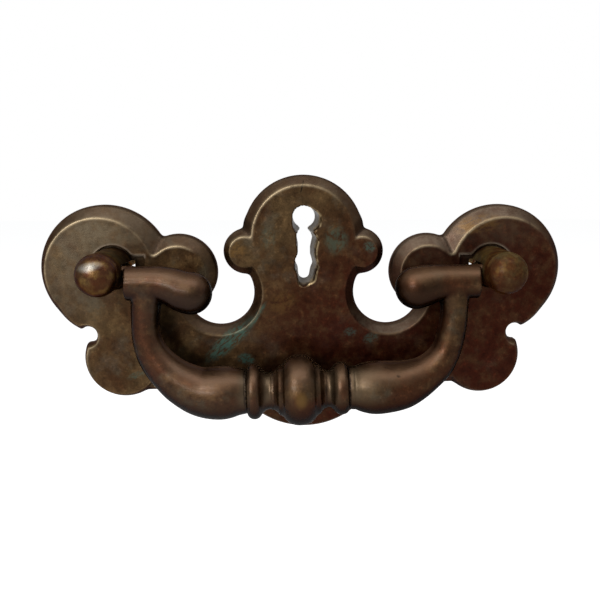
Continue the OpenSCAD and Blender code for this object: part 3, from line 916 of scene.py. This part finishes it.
class Nodes:
    """Short names for building one material's node tree."""

    def __init__(self, name):
        self.material = bpy.data.materials.new(name)
        self.material.use_nodes = True
        self.tree = self.material.node_tree
        self.shader = self.tree.nodes["Principled BSDF"]
        self.spot = new_node(self.tree, "TexCoord").outputs["Object"]

    def plug(self, node, socket, value):
        if isinstance(value, bpy.types.NodeSocket):
            self.tree.links.new(value, node.inputs[socket])
        elif value is not None:
            node.inputs[socket].default_value = value

    def noise(self, size_mm, detail, rough=0.55, distort=0.0, offset=(0, 0, 0)):
        place = new_node(self.tree, "Mapping")
        self.plug(place, "Vector", self.spot)
        place.inputs["Scale"].default_value = [1 / (size_mm * MM)] * 3
        place.inputs["Location"].default_value = offset
        return self.noise_at(place.outputs[0], 1, detail, rough, distort)

    def noise_at(self, vector, scale, detail, rough, distort):
        noise = new_node(self.tree, "TexNoise")
        sockets = ("Vector", "Scale", "Detail", "Roughness", "Distortion")
        for socket, value in zip(sockets, (vector, scale, detail, rough, distort)):
            self.plug(noise, socket, value)
        return noise.outputs["Fac"]

    def math(self, kind, a, b):
        node = new_node(self.tree, "Math")
        node.operation = kind
        self.plug(node, 0, a)
        self.plug(node, 1, b)
        return node.outputs[0]

    def times(self, a, b):
        return self.math("MULTIPLY", a, b)

    def range(self, value, low, high, to_low=0.0, to_high=1.0):
        node = new_node(self.tree, "MapRange")
        node.interpolation_type = "SMOOTHSTEP"
        sockets = ("Value", "From Min", "From Max", "To Min", "To Max")
        for socket, limit in zip(sockets, (value, low, high, to_low, to_high)):
            self.plug(node, socket, limit)
        return node.outputs[0]

    def mix(self, share, a, b, kind="MIX"):
        node = new_node(self.tree, "Mix")
        node.data_type = "RGBA"
        node.blend_type = kind
        self.plug(node, 0, share)
        self.plug(node, 6, (*a, 1) if isinstance(a, tuple) else a)
        self.plug(node, 7, (*b, 1) if isinstance(b, tuple) else b)
        return node.outputs[2]

    def value(self, name):
        node = new_node(self.tree, "Attribute")
        node.attribute_name = name
        return node.outputs["Fac"]

    def axis(self, which):
        split = new_node(self.tree, "SeparateXYZ")
        self.plug(split, 0, self.spot)
        return split.outputs["XYZ".index(which)]

    def tint(self, share, colour):
        """Lays a colour over what the material has so far."""
        self.colour = self.mix(share, self.colour, colour)

    def tint_where(self, mark, share):
        """Lays a mark's colour where the mesh says so."""
        self.tint(self.times(self.value(mark), share), mark_colours[mark])

    def shade(self, share, factor):
        """Darkens or lightens what the material has so far."""
        self.colour = self.mix(share, self.colour, (factor, factor, factor), "MULTIPLY")

    def near(self, centre, half_size, soft, turn=0.0):
        """1 inside an ellipsoid in millimetres, turned in the plate's plane, and falling to 0 outside it."""
        place = new_node(self.tree, "Mapping")
        place.vector_type = "TEXTURE"
        self.plug(place, "Vector", self.spot)
        place.inputs["Location"].default_value = [c * MM for c in centre]
        place.inputs["Rotation"].default_value = (0, -math.radians(turn), 0)
        place.inputs["Scale"].default_value = [h * MM for h in half_size]
        self.within = place.outputs[0]
        length = new_node(self.tree, "VectorMath")
        length.operation = "LENGTH"
        self.plug(length, 0, place.outputs[0])
        return self.range(length.outputs["Value"], 1 - soft * 0.5, 1 + soft * 0.5, 1.0, 0.0)

    def bump(self, *layers):
        """Stacks (height, strength, depth in mm) layers into the shader's normal."""
        normal = None
        for height, strength, depth in layers:
            node = new_node(self.tree, "Bump")
            node.inputs["Strength"].default_value = strength
            node.inputs["Distance"].default_value = depth * MM
            self.plug(node, "Height", height)
            if normal:
                self.plug(node, "Normal", normal)
            normal = node.outputs[0]
        self.plug(self.shader, "Normal", normal)
        self.plug(self.shader, "Coat Normal", normal)


def aged_brass(name, tones, red_share=None, roughness=0.44):
    """Patinated brass: olive, brown and red clouds, with fine mottling, dents and a satin sheen."""
    olive, brown, red = tones
    bright_olive = tuple(1.9 * c for c in olive)
    grey_olive = (olive[0], olive[0] * 0.88, olive[0] * 0.6)
    n = Nodes(name)
    clouds = n.noise(13, 5, 0.62, distort=0.5)
    n.blotches = n.noise(3.6, 5, 0.68, offset=(3, 1, 7))
    n.speckle = n.noise(0.5, 3, 0.7)
    n.colour = n.mix(n.range(clouds, 0.38, 0.6), olive, brown)
    n.tint(n.range(n.blotches, 0.46, 0.7, 0, 0.55), bright_olive)
    n.tint(n.range(n.noise(6, 5, 0.6, offset=(9, 2, 5)), 0.5, 0.68, 0, 0.5), grey_olive)
    reds = n.range(n.noise(9, 4, 0.6, offset=(11, 5, 2)), 0.42, 0.62)
    if red_share:
        red_side = n.times(red_share(n), n.range(n.blotches, 0.4, 0.66, 1, 0.72))
        reds = n.math("MAXIMUM", n.times(reds, 0.3), red_side)
    n.tint(n.times(reds, 0.9), red)
    grain = n.noise(1.4, 4, 0.7, offset=(5, 7, 3))
    n.shade(n.range(n.blotches, 0.3, 0.46, 0.6, 0), 0.5)
    n.shade(n.range(grain, 0.32, 0.48, 0.65, 0), 0.55)
    n.shade(n.range(grain, 0.54, 0.7, 0, 0.7), 1.9)
    n.shade(n.range(n.speckle, 0.5, 0.75, 0, 0.65), 0.5)
    n.shade(n.range(n.speckle, 0.22, 0.42, 0.4, 0), 1.7)
    n.plug(n.shader, "Metallic", 1)
    n.plug(n.shader, "Specular Tint", (0.36, 0.29, 0.23, 1))
    n.plug(n.shader, "Coat Roughness", 0.28)
    n.plug(n.shader, "Roughness", n.range(n.blotches, 0.3, 0.7, roughness - 0.06, roughness + 0.08))
    n.bump((n.noise(9, 2), 0.3, 0.5), (n.blotches, 0.35, 0.12), (n.speckle, 0.6, 0.045))
    return n


def finish_material(n):
    n.plug(n.shader, "Base Color", n.colour)
    return n.material


def add_patch(n, colour, x, z, half_x, half_z, share, turn=0.0, y=face_y, fineness=2.2):
    """A patch of another colour with a broken edge, its streaks along its length."""
    patch = n.near((x, y, z), (half_x, 3, half_z), 0.8, turn)
    broken = n.noise_at(n.within, fineness, 4, 0.68, 0.3)
    patch = n.times(patch, n.range(broken, 0.38, 0.58))
    n.tint(n.times(patch, share), colour)


def red_on_the_right(n):
    """Share of red, which grows to the right and downwards."""
    not_low = n.math("MAXIMUM", n.axis("Z"), -0.012)
    return n.range(n.math("SUBTRACT", n.axis("X"), n.times(not_low, 1.2)), -0.022, 0.024)


def plate_brass():
    n = aged_brass("plate_brass", plate_tones, red_on_the_right)
    n.plug(n.shader, "Coat Weight", 0.05)
    mottled = n.range(n.noise(2.2, 5, 0.7, offset=(8, 4, 1)), 0.36, 0.64, 0.6, 1.3)
    for x, z, half_x, half_z, share in pale_places:
        place = n.near((x, face_y, z), (half_x, 4, half_z), 1.4)
        n.tint(n.times(place, n.times(mottled, share)), pale_dust)
    # Painted highlight on the upward-facing bevel band, broken by mottling
    n.tint_where("band_top_highlight", n.times(mottled, 0.6))
    # Painted highlight on outer edges facing the upper left
    n.tint_where("lit_edge_highlight", 0.55)
    n.tint_where("band", 0.4)
    # Painted shade on outer edges facing away from the upper left
    n.tint_where("edge", 0.35)
    # Painted shade in the creases where the lobes meet
    n.tint_where("valley_shade", 0.7)
    add_patch(n, yellow_wear, 46.5, 11.2, 6, 2.4, 0.55, 10)
    add_patch(n, yellow_wear, -5.9, -9.8, 3.6, 2.8, 0.28, 25, fineness=1.5)
    add_patch(n, yellow_wear, -18.5, 4.5, 2.8, 2.2, 0.5)
    for place in green_places:
        add_patch(n, verdigris, *place)
    add_patch(n, verdigris, -20.2, -20, 8, 2.1, 1, 43, fineness=3.4)
    add_patch(n, green_grime, 8.7, 7.2, 2.9, 3.5, 0.75, fineness=1.4)
    for x, z, half_x, half_z, share, turn in shaded_places:
        place = n.near((x, face_y, z), (half_x, 3, half_z), 1, turn)
        n.shade(n.times(place, share), 0.2)
    # Dirt and painted shade on the floor of each post's seat
    n.tint_where("seat", 0.8)
    # Painted highlight on the upper part of each seat's rim
    n.tint_where("seat_rim_highlight", 0.7)
    # Keyhole wall: grey-green, not metal, and made paler as painted light
    n.tint_where("key_wall", 1)
    n.plug(n.shader, "Metallic", n.range(n.value("key_wall"), 0, 1, 1, 0))
    # Painted highlight on the keyhole's lip, broken by noise
    n.tint_where("key_rim_highlight", n.range(n.noise(2.6, 2), 0.4, 0.55))
    crack = n.near((-0.3, face_y, 21.2), (0.2, 3, 1.7), 0.6, -14)
    n.tint(n.times(crack, 0.85), crack_dark)
    # Worn crests, with a painted highlight where they face up and to the left
    n.tint_where("crest", n.range(n.blotches, 0.32, 0.6, 0.35, 0.85))
    grain_of_back = n.noise(4.5, 6, 0.72, offset=(2, 6, 9))
    n.tint_where("back", n.range(grain_of_back, 0.36, 0.62, 0.15, 0.75))
    return finish_material(n)


def bail_brass():
    n = aged_brass("bail_brass", bail_tones)
    n.plug(n.shader, "Coat Weight", n.range(n.axis("X"), -0.035, 0.03, 0.13, 0.06))
    n.plug(n.shader, "Coat Roughness", 0.24)
    n.plug(n.shader, "Specular Tint", (0.17, 0.112, 0.072, 1))
    # Painted light on faces turned upwards
    n.tint_where("over", 0.62)
    n.tint_where("cove", 0.75)
    # Painted highlight at the start of the right swelling
    n.tint_where("right_start_highlight", 0.5)
    # Painted shade on faces turned downwards
    n.tint_where("under", 0.85)
    # Painted shade and grime in grooves and joins
    n.tint_where("groove", 0.8)
    n.tint_where("seam", n.range(n.blotches, 0.25, 0.6, 0.3, 0.8))
    for pit in bail_pits:
        add_patch(n, pit_dark, *pit, share=0.9, turn=-12, y=pivot_y - 6)
    rubbed = n.near((-0.9, pivot_y - 9, -31.4), (1.4, 3, 1.9), 1.2)
    n.tint(n.times(rubbed, 0.5), ball_gold)
    # Painted shade on the lower sides of the nubs
    n.tint_where("nub", 0.7)
    return finish_material(n)


def post_brass(name, polish, roughness, gold_share, highlight_share=0.0):
    """A post's metal: polished on top, by the coat weight given, darker towards the bottom, with a painted
    highlight spot on top.
    """
    n = aged_brass(name, post_tones, roughness=roughness)
    gold = n.range(n.noise(2.4, 4, 0.6, offset=(4, 8, 1)), 0.46, 0.7)
    n.tint(n.times(gold, gold_share), head_gold)
    # Darker towards the bottom of the head, in blotches
    low = n.range(n.axis("Z"), -0.0032, 0.0006, 0.9, 0)
    n.tint(n.times(low, n.range(n.blotches, 0.4, 0.58, 0.5, 1)), head_low_dark)
    # Painted highlight: a whitish spot on the top of the head
    highlight_spot = n.near((-post_x - 0.9, head_y - 3, 2.5), (2.4, 4, 0.9), 1.2, 10)
    spot_share = n.range(n.speckle, 0.3, 0.7, highlight_share, 0.5 * highlight_share)
    n.tint(n.times(highlight_spot, spot_share), painted_head_highlight)
    n.plug(n.shader, "Coat Weight", n.range(n.axis("Z"), -0.0015, 0.0015, 0.06, polish))
    n.plug(n.shader, "Coat Roughness", 0.24)
    return finish_material(n)


def nut_brass():
    return finish_material(aged_brass("nut_brass", nut_tones, roughness=0.4))


def dress(piece, material):
    piece.data.materials.clear()
    piece.data.materials.append(material)


# Camera, set where the photograph was taken from
def add_camera():
    camera = bpy.data.objects.new("camera", bpy.data.cameras.new("camera"))
    bpy.context.scene.collection.objects.link(camera)
    bpy.context.scene.camera = camera
    photo_focal_px = 729.5
    photo_size_px = 600
    camera.data.sensor_width = 36
    camera.data.lens = photo_focal_px / photo_size_px * camera.data.sensor_width
    photo_centre_shift = -0.0534
    camera.data.shift_x = photo_centre_shift
    camera.data.clip_start = 0.01
    pitch_down = 0.172
    turn = -0.044
    eye = Vector((-0.97, -199.9, 24.7))
    camera.location = eye * MM
    camera.rotation_euler = (math.pi / 2 - pitch_down, 0, turn)


# Light: two window lamps at the left, a wide lamp overhead, a pale floor and white surroundings

# Lamps, each [name, place, width, height, power], in metres and watts
lamps = [
    ("window_light", (-0.46, -0.84, 0.26), 0.46, 0.12, 5.4),
    ("upper_light", (-0.42, -0.7, 0.54), 0.36, 0.12, 3.6),
    ("top_light", (0, -0.34, 0.76), 1.1, 0.45, 4.5)]
lit_spot = (0, 0, -0.015)
floor_z = -0.24
floor_size = 8
floor_white = (0.86, 0.86, 0.86, 1)
floor_glow = 0.85
ambient_colour = (0.95, 0.97, 1, 1)
ambient_strength = 0.16


def add_area(name, place, width, height, power):
    light = bpy.data.lights.new(name, "AREA")
    light.shape = "RECTANGLE"
    light.size = width
    light.size_y = height
    light.energy = power
    lamp = bpy.data.objects.new(name, light)
    bpy.context.scene.collection.objects.link(lamp)
    lamp.location = place
    aim = Vector(lit_spot) - Vector(place)
    lamp.rotation_euler = aim.to_track_quat("-Z", "Y").to_euler()


def seen_directly(tree):
    """A node that gives 1 for camera, glossy and transmission rays."""
    path = new_node(tree, "LightPath")
    seen = new_node(tree, "Math")
    seen.operation = "MAXIMUM"
    tree.links.new(path.outputs["Is Camera Ray"], seen.inputs[0])
    tree.links.new(path.outputs["Is Glossy Ray"], seen.inputs[1])
    either = new_node(tree, "Math")
    either.operation = "MAXIMUM"
    join(tree, seen, either, 0)
    tree.links.new(path.outputs["Is Transmission Ray"], either.inputs[1])
    return either


def add_floor():
    """Pale floor that stays white where seen directly and keeps a soft shadow."""
    bpy.ops.mesh.primitive_plane_add(size=floor_size, location=(0, 0, floor_z))
    floor = bpy.context.object
    floor.name = "floor"
    material = bpy.data.materials.new("pale_floor")
    material.use_nodes = True
    tree = material.node_tree
    tree.nodes.clear()
    pale = new_node(tree, "BsdfDiffuse")
    pale.inputs["Color"].default_value = floor_white
    strength = new_node(tree, "Math")
    strength.operation = "MULTIPLY"
    strength.inputs[1].default_value = floor_glow
    glow = new_node(tree, "Emission")
    both = new_node(tree, "AddShader")
    join(tree, seen_directly(tree), strength, 0)
    join(tree, strength, glow, "Strength")
    join(tree, pale, both, 0)
    join(tree, glow, both, 1)
    join(tree, both, new_node(tree, "OutputMaterial"), "Surface")
    floor.data.materials.append(material)


def add_world():
    world = bpy.data.worlds.new("studio")
    bpy.context.scene.world = world
    world.use_nodes = True
    tree = world.node_tree
    tree.nodes.clear()
    seen = new_node(tree, "Background")
    seen.inputs["Color"].default_value = (1, 1, 1, 1)
    ambient = new_node(tree, "Background")
    ambient.inputs["Color"].default_value = ambient_colour
    ambient.inputs["Strength"].default_value = ambient_strength
    mix = new_node(tree, "MixShader")
    join(tree, seen_directly(tree), mix, "Fac")
    join(tree, ambient, mix, 1)
    join(tree, seen, mix, 2)
    join(tree, mix, new_node(tree, "OutputWorld"), "Surface")


def light_the_scene():
    for lamp in lamps:
        add_area(*lamp)
    add_world()
    add_floor()
    bpy.context.scene.view_settings.view_transform = "Standard"


add_camera()
light_the_scene()

plate = build_plate()
bail = build_bail()
post_metals = {
    "left": post_brass("post_brass_left", 0.14, 0.4, 0.6, highlight_share=0.7),
    "right": post_brass("post_brass_right", 0.05, 0.62, 0.35),
}
nut_metal = nut_brass()
dress(plate, plate_brass())
dress(bail, bail_brass())
for side, word in ((-1, "left"), (1, "right")):
    dress(build_post(side, word), post_metals[word])
    dress(build_stud(side, word), nut_metal)
    dress(build_nut(side, word), nut_metal)
